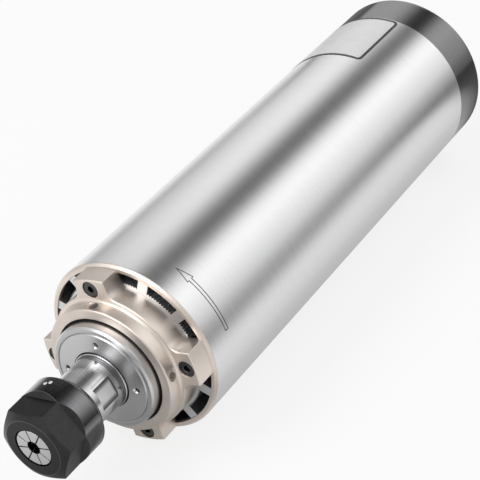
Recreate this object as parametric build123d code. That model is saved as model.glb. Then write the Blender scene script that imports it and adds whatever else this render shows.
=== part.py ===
from build123d import *
import os
from math import cos, radians, sin, tan

# An air-cooled high-speed motor spindle with a collet nose, for a router or milling machine.
# The shaft lies along Y, with the tool at the -Y end. Y = 0 is the front end of the clamping sleeve.
# Places round the shaft are clock angles in degrees, seen from the nose: 0 is up, 90 is towards +X.
# All sizes are in millimetres.

# Round body: the sleeve that a clamp grips, and the caps at its two ends
body_d = 80.0
sleeve_wall = 2.5
rim_len = 1.5
rim_chamfer = 1.0
sleeve_len = 223.8
rear_cap_len = 21.8
index_clock = -20.0          # clock angle of the first flange boss, and of the rear screws

# Finned core, an extrusion between the sleeve and the stator
core_setback = 0.5           # from the rim's front plane to the core's end
rear_room = 25.3             # from the core's end to the sleeve's, for the bearing plate and the fan
channel_depth = 5.45
tube_wall = 1.5
rib_count = 12
rib_width = 4.5
boss_rib_width = 9.0
tooth_count = 168
tooth_height = 1.0
push_fit = 0.05              # radial room between pieces that are pushed together
small_chamfer = 0.3
thread_chamfer = 0.6

# Front flange with four bosses, open windows between them and a neck
boss_count = 4
boss_height = 9.5
boss_width = 15.4
boss_inset = 1.1
scallop_fillet = 5.0
core_land = 0.8
hub_step = 2.0
neck_len = 6.3
neck_round = 1.4
edge_break = 0.4
recess_depth = 2.0
spigot_len = 19.5
dimple_d = 4.2
dimple_depth = 0.35

# Socket-head screws of the flange and of the rear cap
screw_d = 4.0
head_d = 7.0
head_len = 4.0
hex_key = 3.0
hex_depth = 2.2
head_room = 0.2
head_sink = 0.3
flange_screw_edge = 4.6      # from a flange screw's axis to its boss's outside
flange_screw_len = 20.0
rear_screw_edge = 4.45       # from a rear screw's axis to the core's outside
rear_screw_len = 50.0

# Front bearing pair, angular contact, 25 x 47 x 12
front_bore = 25.0
front_outer = 47.0
front_width = 12.0
front_ball_d = 6.0
front_balls = 12
pair_spacer = 2.0
spacer_lip = 2.6

# Rear bearing pair, angular contact, 15 x 32 x 9
rear_bore = 15.0
rear_outer = 32.0
rear_width = 9.0
rear_ball_d = 4.4
rear_balls = 10
ball_room = 0.05             # room between a ball and the grooves that it runs in
pocket_room = 0.15           # room between a ball and its pocket in the cage
land_share = 0.36            # radial gap from the ball circle to a race's land, as a share of the ball
cage_wall_share = 0.42       # half of a cage's wall, as a share of the ball's radius
cage_end_wall = 0.9

# Threaded bearing cap in the flange's neck
cap_step = 0.5
cap_thread_len = 4.3
seal_gap = 1.0
seal_rise = 0.9
seal_crown = 0.4
cap_rise = 4.7
cap_face_slope = 1.0
cap_plate = 4.4
cap_hole_d = 25.8
cap_chamfer = 0.8
cap_land = 1.5
cap_groove = 0.4
cap_pin_pitch_r = 16.8
cap_pin_d = 2.0
cap_pin_depth = 3.0
cap_pin_mouth = 0.6
cap_pin_sink = 0.7           # from the cap's edge plane forward to the start of the hole's cone
cap_cavity_room = 1.0
cap_clock = -7.0             # clock angle of one pin hole
shaft_room = 0.3             # radial gap between the turning shaft parts and the cap

# Shaft and the ring nut that holds the front bearings on it
seat_step = 0.5
lock_nut_d = 32.0
lock_nut_len = 7.0
nose_collar_len = 0.7
flat_width = 22.0
flat_gap = 4.2               # from the lock nut's collar to the flats
flat_len = 9.8
flat_clock = 60.0
shoulder_d = 32.0
shoulder_len = 6.0
front_journal_d = 28.0
rear_journal_d = 20.0
fan_seat_step = 1.5
fan_thread_step = 1.0

# Collet nose: the 8 degree taper, the collet and its nut
nose_len = 41.1              # from the flange's neck face to the end of the threaded nose
collet_d = 21.0
collet_len = 31.5
collet_face_d = 15.8
collet_bore = 6.0
collet_angle = 8.0
lip_angle = 30.0
collet_groove_depth = 1.4
collet_groove_len = 1.8
slit_count = 8
slit_width = 0.55
rear_slit_width = 0.4
slit_end = 4.0
collet_clock = 22.5          # clock angle of one slit in the collet's face
taper_room = 0.05
mouth_gap = 1.5              # from the collet's largest diameter to the mouth of the taper
draw_bore_len = 10.0
draw_bore_cone = 0.6         # length of the drilled bottom's cone, as a share of its radius
taper_run_out = 2.0          # how far the taper goes on behind the collet
collet_end_chamfer = 0.5
nut_d = 34.0
nut_len = 22.0
nut_flats = 29.5
nut_hex_len = 11.5
nut_run_out = 0.8            # slope of the flats' rear ends, as length along the shaft per height
nut_face_d = 25.2
nut_nose_len = 2.4
nut_aperture_d = 17.0
nut_clock = 13.6             # clock angle of one corner of the hexagon
thread_room = 0.1
nut_groove_room = 0.3
mark_d = 1.8                 # drilled balancing marks on the nut
mark_depth = 0.5
mark_places = ((4.2, -21.7), (3.2, -16.4))   # distance from the nut's rear end, clock angle
nut_overhang = 0.3           # how far the nut's face stands in front of the collet's
nut_thread_margin = 1.5      # the shaft's thread ends this far inside the nut
thread_run_out = 0.4

# Motor: stator, windings, rotor and cage
stator_front_gap = 26.0      # from the flange's spigot to the stator
stator_rear_gap = 32.0       # from the stator to the rear bearing plate
stator_bore = 36.0
air_gap = 0.4
slot_count = 24
slot_width = 2.6
slot_mouth = 1.4
tooth_tip = 1.4
yoke = 4.0
slot_liner = 0.15
end_turn_len = 18.0
end_turn_round = 2.5
end_turn_share = 0.3         # largest rounding of an end turn, as a share of its wall
end_turn_gap = 0.5           # from the stator's sheets to the end turns
bar_count = 18
bar_d = 2.8
bar_depth = 1.0
end_ring_len = 6.0
end_ring_step = 0.3

# Rear bearing plate, preload spring and fan
plate_spigot_len = 18.0
plate_flange_len = 4.0
bearing_inset = 1.5          # from the plate's front to the rear bearings
plate_hub_d = 44.0
plate_hub_len = 2.2
spring_wall = 0.6
spring_rise = 1.0
spring_outer_inset = 0.4
spring_inner_inset = 4.0
plate_bore_room = 1.5        # from the rear journal to the plate's bore
rear_spacer_wall = 0.8       # how far the rear spacer stands outside the journal
fan_tip_gap = 0.9            # from the fan's blades to the rear cap's screw posts
fan_gap = 7.5                # from the plate's flange to the fan
fan_disc = 1.5
fan_blade_len = 8.5
fan_blade_wall = 1.4
fan_blades = 9
fan_hub_d = 22.0
fan_sweep = 35.0
fan_blade_curve = 0.8        # radius of a blade's arc, as a share of the fan's
fan_blade_root = 1.0         # how deep a blade's root is sunk in the hub
shaft_stub = 0.5             # how far the shaft's end stands out of the fan nut
fan_nut_flats = 16.0
fan_nut_len = 4.0

# Rear cap with its grille and posts
cap_wall = 2.0
cap_back = 2.5
cap_spigot_len = 5.8
cap_round = 2.5
post_d = 7.2
grille_slots = 24
grille_slot_width = 2.4
grille_inner_gap = 3.0       # from the socket's flange to the slots
grille_gap = 0.3             # from the slots to the screw heads' recesses

# Connector socket in the middle of the rear cap
socket_d = 19.6
socket_wall = 1.9
socket_flange_d = 26.0
socket_flange_len = 2.0
socket_front_len = 8.0
socket_rear_len = 7.0
socket_floor = 2.5
socket_nut_flats = 24.0
socket_nut_len = 2.6
socket_room = 0.1
pin_count = 4
pin_d = 2.4
pin_pitch_r = 5.0
pin_turn = 20.0
pin_front_len = 5.5
pin_rear_len = 3.5

# Leads from the windings to the socket
lead_d = 1.8
lead_edge_gap = 0.05         # from a lead to the rounded edge of the end turns
lead_wall_gap = 1.6          # from a lead to the rear cap's wall
lead_run_gap = 6.0           # from the leads' cross run to the socket's pins
lead_bend = 3.0
lead_jog_start = 1.2         # from the bearing plate to the leads' step outwards
lead_jog_len = 5.0
lead_clock = 25.0
lead_slot_room = 0.5

# Radii that follow from the sizes above
body_r = body_d / 2
sleeve_in_r = body_r - sleeve_wall
core_tip_r = sleeve_in_r - push_fit
core_root_r = core_tip_r - channel_depth
core_bore_r = core_root_r - tube_wall
spigot_r = core_bore_r - push_fit
lobe_r = body_r - boss_inset
flange_screw_pitch_r = lobe_r - flange_screw_edge
rear_screw_pitch_r = core_tip_r - rear_screw_edge
hub_r = core_root_r - core_land
neck_r = hub_r - hub_step
front_outer_r = front_outer / 2
front_bore_r = front_bore / 2
rear_outer_r = rear_outer / 2
rear_bore_r = rear_bore / 2
cap_r = front_outer_r + cap_step
recess_r = cap_r + seal_gap
cap_hole_r = cap_hole_d / 2
collar_r = cap_hole_r - shaft_room
nose_r = front_bore_r - seat_step
rotor_r = stator_bore / 2 - air_gap
stator_r = core_bore_r - push_fit
slot_in_r = stator_bore / 2 + tooth_tip
slot_out_r = stator_r - yoke
fan_seat_r = rear_bore_r - fan_seat_step
fan_thread_r = fan_seat_r - fan_thread_step
end_turn_in_r = slot_in_r + slot_liner
end_turn_out_r = slot_out_r + yoke / 2
end_turn_edge = min(end_turn_round, end_turn_share * (end_turn_out_r - end_turn_in_r))
lead_pitch_r = end_turn_out_r - end_turn_edge - lead_d / 2 - lead_edge_gap
lead_outer_r = sleeve_in_r - cap_wall - lead_wall_gap - lead_d / 2
grille_inner_r = socket_flange_d / 2 + grille_inner_gap
grille_outer_r = rear_screw_pitch_r - head_d / 2 - head_room - grille_gap

# Stations along the shaft that follow from the sizes above
rim_front = -rim_len
core_front = rim_front + core_setback
boss_face = rim_front - boss_height
neck_face = boss_face - neck_len
recess_floor = neck_face + recess_depth
front_race_face = recess_floor + cap_thread_len
front_race_end = front_race_face + 2 * front_width + pair_spacer
spigot_end = core_front + spigot_len
cap_edge = neck_face - cap_rise
cap_face = cap_edge - cap_face_slope
collar_face = cap_face - nose_collar_len
nose_end = neck_face - nose_len
collet_wide = nose_end - mouth_gap
lip_len = (collet_d - collet_face_d) / 2 / tan(radians(lip_angle))
collet_face = collet_wide - collet_groove_len - lip_len
collet_end = collet_face + collet_len
nut_face = collet_face - nut_overhang
nut_rear = nut_face + nut_len
sleeve_end = sleeve_len
cap_end = sleeve_end + rear_cap_len
cap_back_face = cap_end - cap_back
core_end = sleeve_end - rear_room
plate_front = core_end - plate_spigot_len
stator_front = spigot_end + stator_front_gap
stator_end = plate_front - stator_rear_gap
rear_race_face = plate_front + bearing_inset
rear_race_end = rear_race_face + 2 * rear_width
spring_end = rear_race_end + spring_rise + spring_wall
plate_back = core_end + plate_flange_len
fan_front = plate_back + fan_gap
fan_back = fan_front + fan_disc + fan_blade_len


def turned(*corners):
    """A solid turned about the shaft axis from (radius, station) corners."""
    return revolve(make_face(Polyline(*corners, close=True)), axis=Axis.Y)


def across(sketch, front, back):
    """A solid with a sketch's outline, drawn as seen from the nose, between two stations."""
    seen_from_nose = Plane((0, back, 0), x_dir=(1, 0, 0), z_dir=(0, -1, 0))
    return extrude(seen_from_nose * sketch, back - front)


def tube(outer_r, inner_r, front, back):
    """A plain tube about the shaft axis."""
    return across(Circle(outer_r) - Circle(inner_r), front, back)


def rod(rod_r, front, back, pitch_r=0.0, clock=0.0):
    """A plain rod parallel to the shaft, at a distance from it and a clock angle."""
    return Rot(0, clock, 0) * Pos(0, 0, pitch_r) * across(Circle(rod_r), front, back)


def around(shape, count, start=0.0):
    """Copies of a shape at even clock angles."""
    return [Rot(0, start + turn * 360 / count, 0) * shape for turn in range(count)]


def ring_edges(solid, radius, station):
    """The round edges of a solid with this radius at this station."""
    rounds = solid.edges().filter_by(GeomType.CIRCLE)
    return [e for e in rounds if abs(e.radius - radius) < 0.01 and abs(e.arc_center.Y - station) < 0.01]


def group(solids):
    """Several separate solids that make one node."""
    return Compound(children=list(solids))


def star(outer_r, inner_r, width, corner_r):
    """A hub disc with four straight-sided lobes, with hollow corners where they meet."""
    lobe = Pos(0, outer_r / 2) * Rectangle(width, outer_r)
    outline = Circle(inner_r)
    for turn in range(boss_count):
        outline += Rot(0, 0, turn * 360 / boss_count) * lobe
    outline &= Circle(outer_r)
    inner_corners = [v for v in outline.vertices() if abs(Vector(v.X, v.Y).length - inner_r) < 0.05]
    return fillet(inner_corners, corner_r)


def screw(shank_len):
    """A socket-head cap screw pointing to +Y, with the underside of its head at the origin."""
    head = across(Circle(head_d / 2), -head_len, 0)
    head = chamfer(ring_edges(head, head_d / 2, -head_len), small_chamfer)
    hexagon = RegularPolygon(hex_key / 2, 6, major_radius=False)
    head -= across(hexagon, -head_len, hex_depth - head_len)
    shank = across(Circle(screw_d / 2), 0, shank_len)
    return head + shank


def body_sleeve():
    """The brushed tube that the machine's clamp grips."""
    return tube(body_r, sleeve_in_r, 0, sleeve_end)


def finned_core():
    """The extruded core: a tube for the stator, fine teeth outside it and ribs out to the sleeve."""
    corners = []
    for step in range(2 * tooth_count):
        radius = core_root_r + tooth_height * (step % 2)
        turn = radians(step * 180 / tooth_count)
        corners.append((radius * sin(turn), radius * cos(turn)))
    section = make_face(Polyline(*corners, close=True))
    for rib in range(rib_count):
        under_boss = rib % (rib_count // boss_count) == 0
        width = boss_rib_width if under_boss else rib_width
        rib_shape = Pos(0, core_tip_r / 2) * Rectangle(width, core_tip_r + 2)
        section += Rot(0, 0, rib * 360 / rib_count) * rib_shape
    section &= Circle(core_tip_r)
    section -= Circle(core_bore_r)
    core = Rot(0, index_clock, 0) * across(section, core_front, core_end)
    screw_hole_r = screw_d / 2 + push_fit
    flange_screw_end = boss_face + head_sink + head_len + flange_screw_len
    rear_screw_end = cap_end - head_sink - head_len - rear_screw_len
    for clock in boss_clocks():
        core -= rod(screw_hole_r, core_front - 1, flange_screw_end + 2, flange_screw_pitch_r, clock)
        core -= rod(screw_hole_r, rear_screw_end - 2, core_end + 1, rear_screw_pitch_r, clock)
    return core


def boss_clocks():
    """Clock angles of the flange's bosses."""
    return [index_clock + turn * 360 / boss_count for turn in range(boss_count)]


def front_flange():
    """The turned and milled end piece: neck, four screw bosses, rim ring and bearing seat."""
    lobes = across(star(lobe_r, hub_r, boss_width, scallop_fillet), boss_face, core_front)
    top_edges = [e for e in lobes.edges() if abs(e.center().Y - boss_face) < 0.01]
    lobes = Rot(0, index_clock, 0) * chamfer(top_edges, edge_break)
    rim = turned((sleeve_in_r, rim_front), (body_r - rim_chamfer, rim_front),
                 (body_r, rim_front + rim_chamfer), (body_r, 0), (sleeve_in_r, 0))
    neck = turned((0, neck_face), (neck_r - edge_break, neck_face), (neck_r, neck_face + edge_break),
                  (neck_r, boss_face), (neck_r, boss_face + 1), (0, boss_face + 1))
    spigot = turned((0, core_front - 1), (spigot_r, core_front - 1), (spigot_r, spigot_end - 1),
                    (spigot_r - 1, spigot_end), (0, spigot_end))
    flange = lobes + rim + neck + spigot
    flange = fillet(ring_edges(flange, neck_r, boss_face), min(neck_round, 0.8 * hub_step))
    flange -= rod(recess_r, neck_face - 1, recess_floor)
    flange -= rod(cap_r, recess_floor - 1, front_race_face)
    flange -= rod(front_outer_r, front_race_face - 1, front_race_end)
    flange -= rod(front_outer_r - spacer_lip, front_race_end - 1, spigot_end + 1)
    for clock in boss_clocks():
        flange -= rod(head_d / 2 + head_room, boss_face - 1, boss_face + head_sink + head_len,
                      flange_screw_pitch_r, clock)
        flange -= rod(screw_d / 2 + head_room, boss_face, core_front + 1, flange_screw_pitch_r, clock)
        dimple = Pos(0, (boss_face + neck_face) / 2, neck_r) * Cylinder(dimple_d / 2, 2 * dimple_depth)
        flange -= Rot(0, clock, 0) * dimple
    return flange


def flange_screws():
    """The four screws that hold the flange to the core."""
    seat = boss_face + head_sink + head_len
    placed = Pos(0, seat, flange_screw_pitch_r) * screw(flange_screw_len)
    return group(around(placed, boss_count, index_clock))


def front_bearing_cap():
    """The threaded cap over the front bearings, with four pin holes for its spanner."""
    thread_r = cap_r - push_fit
    land_r = cap_r - cap_chamfer - cap_land
    cavity_r = lock_nut_d / 2 + cap_cavity_room
    cap = turned((cavity_r, front_race_face), (thread_r, front_race_face),
                 (thread_r, recess_floor), (thread_r, cap_edge + cap_chamfer),
                 (thread_r - cap_chamfer, cap_edge), (land_r, cap_edge),
                 (land_r, cap_edge + cap_groove), (land_r - cap_groove, cap_edge + cap_groove),
                 (land_r - 2 * cap_groove, cap_edge - cap_groove / 2),
                 (cap_hole_r + small_chamfer, cap_face), (cap_hole_r, cap_face + small_chamfer),
                 (cap_hole_r, cap_face + cap_plate), (cavity_r, cap_face + cap_plate))
    pin_r = cap_pin_d / 2
    hole = rod(pin_r, cap_face - 1, cap_face + cap_pin_depth, cap_pin_pitch_r)
    mouth = countersink(pin_r + cap_pin_mouth, pin_r, cap_edge - cap_pin_sink, cap_pin_pitch_r)
    for hole_cut in around(hole + mouth, 4, cap_clock):
        cap -= hole_cut
    return cap


def countersink(mouth_r, hole_r, station, pitch_r):
    """A short cone that widens a hole's mouth at a station."""
    depth = mouth_r - hole_r
    cone = turned((0, station - 1), (mouth_r + 1, station - 1), (hole_r, station + depth),
                  (0, station + depth))
    return Pos(0, 0, pitch_r) * cone


def cap_seal_ring():
    """The rubber ring in the gap round the bearing cap."""
    inner_r = cap_r + push_fit
    outer_r = recess_r - push_fit
    middle_r = (inner_r + outer_r) / 2
    shoulder = recess_floor - seal_rise
    return turned((inner_r, recess_floor), (outer_r, recess_floor), (outer_r, shoulder),
                  (middle_r, shoulder - seal_crown), (inner_r, shoulder))


def race_pair(bore_r, outer_r, width, ball_r, pitch_r, front, gap, inner):
    """Two inner or two outer bearing races, each with a groove for its balls."""
    land = ball_r * 2 * land_share
    groove_r = ball_r + ball_room
    races = []
    for start in (front, front + width + gap):
        middle = start + width / 2
        if inner:
            ring = tube(pitch_r - land, bore_r, start, start + width)
        else:
            ring = tube(outer_r, pitch_r + land, start, start + width)
        groove = revolve(Pos(pitch_r, middle) * Circle(groove_r), axis=Axis.Y)
        races.append(ring - groove)
    return group(races)


def ball_pair(ball_r, count, pitch_r, width, front, gap):
    """The balls of two bearings."""
    balls = []
    for start in (front, front + width + gap):
        ball = Pos(0, start + width / 2, pitch_r) * Sphere(ball_r)
        balls += around(ball, count)
    return group(balls)


def cage_pair(ball_r, count, pitch_r, width, front, gap):
    """The two cages that space the balls, each a ring with round pockets."""
    cages = []
    half_wall = cage_wall_share * ball_r
    half_len = ball_r + cage_end_wall
    for start in (front, front + width + gap):
        middle = start + width / 2
        cage = tube(pitch_r + half_wall, pitch_r - half_wall, middle - half_len, middle + half_len)
        for pocket in around(Pos(0, middle, pitch_r) * Cylinder(ball_r + pocket_room, ball_r * 2), count):
            cage -= pocket
        cages.append(cage)
    return group(cages)


def front_pitch_r():
    """Radius of the ball circle in the front bearings."""
    return (front_bore_r + front_outer_r) / 2


def rear_pitch_r():
    """Radius of the ball circle in the rear bearings."""
    return (rear_bore_r + rear_outer_r) / 2


def outer_spacer():
    """The ring between the outer races of the front pair."""
    start = front_race_face + front_width
    return tube(front_outer_r - push_fit, front_outer_r - spacer_lip, start, start + pair_spacer)


def inner_spacer():
    """The ring between the inner races of the front pair."""
    start = front_race_face + front_width
    return tube(front_bore_r + spacer_lip, front_bore_r + push_fit, start, start + pair_spacer)


def taper_radius(station, room=0.0):
    """Radius of the collet's long taper at a station, with room measured across the wall."""
    slope = tan(radians(collet_angle))
    return collet_d / 2 - (station - collet_wide) * slope + room / cos(radians(collet_angle))


def shaft():
    """The spindle shaft: threaded nose with the collet taper, journals, rotor seat and fan seat."""
    thread_r = front_bore_r - thread_room
    thread_end = nut_rear - nut_thread_margin
    shoulder_end = front_race_end + shoulder_len
    cage_front = stator_front - end_ring_len
    rotor_end = stator_end + end_ring_len
    taper_end = collet_end + taper_run_out
    draw_end = taper_end + draw_bore_len
    deep_r = taper_radius(taper_end, taper_room)
    stub_end = fan_back + fan_nut_len + shaft_stub
    turned_shaft = turned(
        (0, draw_end + deep_r * draw_bore_cone), (deep_r, draw_end), (deep_r, taper_end),
        (taper_radius(nose_end, taper_room), nose_end),
        (thread_r - thread_chamfer, nose_end), (thread_r, nose_end + thread_chamfer),
        (thread_r, thread_end), (nose_r, thread_end + thread_run_out),
        (nose_r, front_race_face), (front_bore_r, front_race_face),
        (front_bore_r, front_race_end), (shoulder_d / 2, front_race_end),
        (shoulder_d / 2, shoulder_end), (front_journal_d / 2, shoulder_end),
        (front_journal_d / 2, cage_front), (front_bore_r, cage_front), (front_bore_r, rotor_end),
        (rear_journal_d / 2, rotor_end), (rear_journal_d / 2, rear_race_face),
        (rear_bore_r, rear_race_face), (rear_bore_r, rear_race_end), (fan_seat_r, rear_race_end),
        (fan_seat_r, fan_back), (fan_thread_r, fan_back), (fan_thread_r, stub_end - thread_chamfer),
        (fan_thread_r - thread_chamfer, stub_end), (0, stub_end))
    flat_back = collar_face - flat_gap
    cut_height = nose_r
    cutter = Box(body_d, flat_len, cut_height)
    cutter = Pos(0, flat_back - flat_len / 2, (flat_width + cut_height) / 2) * cutter
    for flat in around(cutter, 2, flat_clock):
        turned_shaft -= flat
    return turned_shaft


def front_lock_nut():
    """The ring nut that clamps the front races, with a collar that shows in the cap's hole."""
    bore = nose_r + push_fit
    ring_front = front_race_face - lock_nut_len
    return turned((bore, collar_face), (collar_r - small_chamfer, collar_face),
                  (collar_r, collar_face + small_chamfer), (collar_r, ring_front),
                  (lock_nut_d / 2, ring_front), (lock_nut_d / 2, front_race_face),
                  (bore, front_race_face))


def collet():
    """The slit spring collet, with its 8 degree taper, groove and short front lip."""
    half_bore = collet_bore / 2
    face_r = collet_face_d / 2
    wide_r = collet_d / 2
    groove_r = wide_r - collet_groove_depth
    lip_end = collet_face + lip_len
    chamfer_start = collet_end - collet_end_chamfer
    body = turned((half_bore, collet_face), (face_r, collet_face), (wide_r, lip_end),
                  (groove_r, lip_end), (groove_r, collet_wide), (wide_r, collet_wide),
                  (taper_radius(chamfer_start), chamfer_start),
                  (taper_radius(collet_end) - collet_end_chamfer, collet_end), (half_bore, collet_end))
    front_slit = slit(slit_width, collet_face - 1, collet_end - slit_end)
    rear_slit = slit(rear_slit_width, collet_wide, collet_end + 1)
    for cut in around(front_slit, slit_count, collet_clock):
        body -= cut
    for cut in around(rear_slit, slit_count, collet_clock + 180 / slit_count):
        body -= cut
    return body


def slit(width, front, back):
    """A thin slab from the axis outwards, at clock angle 0."""
    return Pos(0, (front + back) / 2, collet_d / 2) * Box(width, back - front, collet_d)


def collet_nut():
    """The round nut with six flats that pushes the collet into its taper."""
    nut_r = nut_d / 2
    face_r = nut_face_d / 2
    bore_r = front_bore_r - thread_room / 2
    hook_r = collet_d / 2 - collet_groove_depth + nut_groove_room
    lip_end = collet_face + lip_len
    hook_front = lip_end + nut_groove_room
    hook_back = collet_wide - nut_groove_room
    cone_r = collet_d / 2 + nut_groove_room
    aperture_r = nut_aperture_d / 2
    body = turned((aperture_r, nut_face), (face_r, nut_face), (nut_r, nut_face + nut_nose_len),
                  (nut_r, nut_rear - thread_chamfer), (nut_r - thread_chamfer, nut_rear),
                  (bore_r, nut_rear),
                  (bore_r, hook_back), (hook_r, hook_back), (hook_r, hook_front),
                  (cone_r, hook_front), (cone_r, lip_end))
    for cut in around(nut_flat_cut(), 6, nut_clock + 30):
        body -= cut
    for from_rear, clock in mark_places:
        mark = Pos(0, nut_rear - from_rear, nut_r) * Cone(0, mark_d, 2 * mark_depth)
        body -= Rot(0, clock, 0) * mark
    return body


def nut_flat_cut():
    """The cut that leaves one flat of the nut at clock angle 0, with a sloped rear end."""
    height = nut_flats / 2
    flat_end = nut_face + nut_hex_len
    side = make_face(Polyline((nut_face - 1, height), (nut_face - 1, nut_d),
                              (flat_end + (nut_d - height) * nut_run_out, nut_d),
                              (flat_end, height), close=True))
    return extrude(Plane.YZ * side, nut_d, both=True)


def stator_core():
    """The laminated stator ring with its winding slots."""
    section = Circle(stator_r) - Circle(stator_bore / 2)
    slot = Pos(0, (slot_in_r + slot_out_r) / 2) * Rectangle(slot_width, slot_out_r - slot_in_r)
    mouth = Pos(0, slot_in_r) * Rectangle(slot_mouth, 2 * tooth_tip + 1)
    for turn in range(slot_count):
        section -= Rot(0, 0, turn * 360 / slot_count) * (slot + mouth)
    return across(section, stator_front, stator_end)


def stator_winding():
    """The copper coils: bars in the stator's slots, and the end turns that join them."""
    bar_len = slot_out_r - slot_in_r - 2 * slot_liner
    bar = Pos(0, (slot_in_r + slot_out_r) / 2) * Rectangle(slot_width - 2 * slot_liner, bar_len)
    coil = Part()
    for placed in around(across(bar, stator_front - 1, stator_end + 1), slot_count):
        coil += placed
    for near, far in ((stator_front - end_turn_gap, stator_front - end_turn_len),
                      (stator_end + end_turn_gap, stator_end + end_turn_len)):
        ring = tube(end_turn_out_r, end_turn_in_r, min(near, far), max(near, far))
        rounds = ring_edges(ring, end_turn_out_r, far) + ring_edges(ring, end_turn_in_r, far)
        coil += fillet(rounds, end_turn_edge)
    return coil


def rotor_core():
    """The laminated rotor, with round tunnels for the cage's bars."""
    core = tube(rotor_r, front_bore_r + push_fit, stator_front, stator_end)
    tunnel = rod(bar_d / 2 + push_fit, stator_front - 1, stator_end + 1, cage_pitch_r())
    for cut in around(tunnel, bar_count):
        core -= cut
    return core


def cage_pitch_r():
    """Radius of the circle that the rotor's bars stand on."""
    return rotor_r - bar_depth - bar_d / 2


def rotor_cage():
    """The cast cage: two end rings and the bars between them."""
    bore = front_bore_r + push_fit
    ring_r = rotor_r - end_ring_step
    cage = tube(ring_r, bore, stator_front - end_ring_len, stator_front)
    cage += tube(ring_r, bore, stator_end, stator_end + end_ring_len)
    for bar in around(rod(bar_d / 2, stator_front - 1, stator_end + 1, cage_pitch_r()), bar_count):
        cage += bar
    return cage


def rear_bearing_plate():
    """The end piece that holds the rear bearings, with lobes that the rear screws clamp."""
    lobes = across(star(core_tip_r, hub_r, boss_width, scallop_fillet), core_end, plate_back)
    lobes = Rot(0, index_clock, 0) * lobes
    spigot = turned((0, plate_front), (spigot_r - 1, plate_front), (spigot_r, plate_front + 1),
                    (spigot_r, core_end + 1), (0, core_end + 1))
    hub = rod(plate_hub_d / 2, core_end, plate_back + plate_hub_len)
    plate = lobes + spigot + hub
    plate -= rod(rear_outer_r, plate_front - 1, spring_end)
    plate -= rod(rear_bore_r + plate_bore_room, spring_end - 1, plate_back + plate_hub_len + 1)
    for clock in boss_clocks():
        plate -= rod(screw_d / 2 + head_room, core_end - 1, plate_back + 1, rear_screw_pitch_r, clock)
    slot = SlotOverall(2 * (lead_reach() + lead_d / 2 + lead_slot_room), lead_d + 2 * lead_slot_room)
    window = across(Pos(0, lead_pitch_r) * slot, plate_front - 1, plate_back + plate_hub_len + 1)
    return plate - Rot(0, lead_clock, 0) * window


def preload_spring():
    """The conical spring washer that loads the rear bearings."""
    inner_r = rear_outer_r - spring_inner_inset
    outer_r = rear_outer_r - spring_outer_inset
    return turned((inner_r, spring_end - spring_wall), (inner_r, spring_end),
                  (outer_r, rear_race_end + spring_wall), (outer_r, rear_race_end))


def rear_spacer():
    """The sleeve on the shaft between the rear bearings and the fan."""
    return tube(rear_bore_r + rear_spacer_wall, fan_seat_r + push_fit, rear_race_end, fan_front)


def cooling_fan():
    """The fan on the shaft's rear end: a disc, a hub and curved blades."""
    rim_r = rear_screw_pitch_r - post_d / 2 - fan_tip_gap
    hub_in_r = fan_seat_r + push_fit
    disc_back = fan_front + fan_disc
    fan = tube(rim_r, hub_in_r, fan_front, disc_back) + tube(fan_hub_d / 2, hub_in_r, fan_front, fan_back)
    root = (0, fan_hub_d / 2 - fan_blade_root)
    tip = (rim_r * sin(radians(fan_sweep)), rim_r * cos(radians(fan_sweep)))
    curve = RadiusArc(root, tip, rim_r * fan_blade_curve)
    outline = trace(curve, fan_blade_wall) & Circle(rim_r)
    blade = across(outline, disc_back - 0.5, fan_back)
    for placed in around(blade, fan_blades):
        fan += placed
    fan -= rod(hub_in_r, fan_front - 1, fan_back + 1)
    return fan


def fan_nut():
    """The hexagon nut that clamps the fan on the shaft."""
    outline = RegularPolygon(fan_nut_flats / 2, 6, major_radius=False) - Circle(fan_thread_r + push_fit)
    return across(outline, fan_back, fan_back + fan_nut_len)


def rear_cap():
    """The black end cap: a shell with a grille, four screw posts and a hole for the socket."""
    cavity_r = sleeve_in_r - cap_wall
    shell = turned((cavity_r, sleeve_end - cap_spigot_len), (core_tip_r, sleeve_end - cap_spigot_len),
                   (core_tip_r, sleeve_end), (body_r, sleeve_end), (body_r, cap_end), (0, cap_end),
                   (0, cap_back_face), (cavity_r, cap_back_face))
    shell = fillet(ring_edges(shell, body_r, cap_end), cap_round)
    post = rod(post_d / 2, plate_back, cap_back_face + 0.5, rear_screw_pitch_r)
    post &= rod(core_tip_r, plate_back, cap_end)
    for placed in around(post, boss_count, index_clock):
        shell += placed
    for clock in boss_clocks():
        shell -= rod(screw_d / 2 + head_room, plate_back - 1, cap_end, rear_screw_pitch_r, clock)
        shell -= rod(head_d / 2 + head_room, cap_end - head_sink - head_len, cap_end + 1,
                     rear_screw_pitch_r, clock)
    slot = SlotOverall(grille_outer_r - grille_inner_r, grille_slot_width, rotation=90)
    slot = across(Pos(0, (grille_inner_r + grille_outer_r) / 2) * slot, cap_back_face - 1, cap_end + 1)
    for cut in around(slot, grille_slots):
        shell -= cut
    return shell - rod(socket_d / 2 + socket_room, cap_back_face - 1, cap_end + 1)


def rear_cap_screws():
    """The long screws that clamp the rear cap and the bearing plate to the core."""
    placed = Rot(0, 0, 180) * screw(rear_screw_len)
    placed = Pos(0, cap_end - head_sink - head_len, rear_screw_pitch_r) * placed
    return group(around(placed, boss_count, index_clock))


def socket_shell():
    """The threaded metal shell of the connector socket, with its flange."""
    shell_r = socket_d / 2
    cavity_r = shell_r - socket_wall
    flange_back = cap_end + socket_flange_len
    front_end = flange_back + socket_front_len
    rear_end = cap_back_face - socket_rear_len + cap_back
    return turned((cavity_r, rear_end), (shell_r, rear_end), (shell_r, cap_end),
                  (socket_flange_d / 2, cap_end), (socket_flange_d / 2, flange_back),
                  (shell_r, flange_back), (shell_r, front_end - thread_chamfer),
                  (shell_r - thread_chamfer, front_end),
                  (cavity_r, front_end))


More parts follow.
